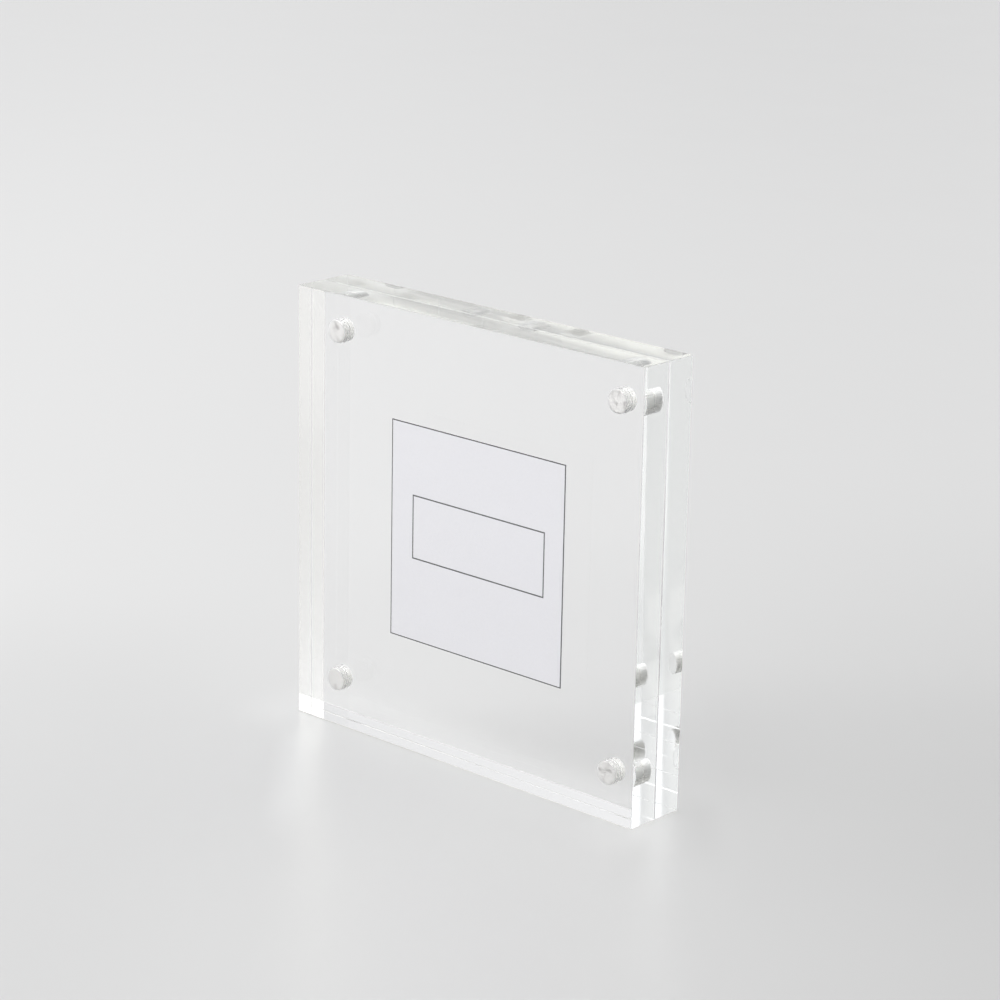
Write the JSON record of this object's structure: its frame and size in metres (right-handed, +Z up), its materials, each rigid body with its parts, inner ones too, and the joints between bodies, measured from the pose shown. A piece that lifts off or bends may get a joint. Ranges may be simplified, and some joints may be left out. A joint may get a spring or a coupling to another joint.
{
  "type": "acrylic photo stand",
  "caption": "Square photo stand of two thick clear acrylic plates on edge, held together by corner magnets that clamp a card between them.",
  "frame": {"origin": "middle of the underside, at the middle of the gap between the two plates", "axes": "+Z up, the face that shows the card faces -Y, +X to the right seen from the front"},
  "size_m": [0.16, 0.0242, 0.16],
  "materials": {
    "clear_acrylic": "polished",
    "nickel": "polished",
    "card": "matte"
  },
  "bodies": {
    "rear": {"rear_block": "clear_acrylic", "rear_magnet_bottom_left": "nickel", "rear_magnet_bottom_right": "nickel", "rear_magnet_top_left": "nickel", "rear_magnet_top_right": "nickel"},
    "front": {"front_block": "clear_acrylic", "front_magnet_bottom_left": "nickel", "front_magnet_bottom_right": "nickel", "front_magnet_top_left": "nickel", "front_magnet_top_right": "nickel"},
    "card": {"photo_card": "card"}
  },
  "joints": [
    {"name": "front_pull", "type": "slide", "parent": "rear", "child": "front", "axis": [0, -1, 0], "range_m": [0, 0.06]},
    {"name": "card_draw", "type": "slide", "parent": "rear", "child": "card", "axis": [0, 0, 1], "range_m": [0, 0.125]}
  ]
}
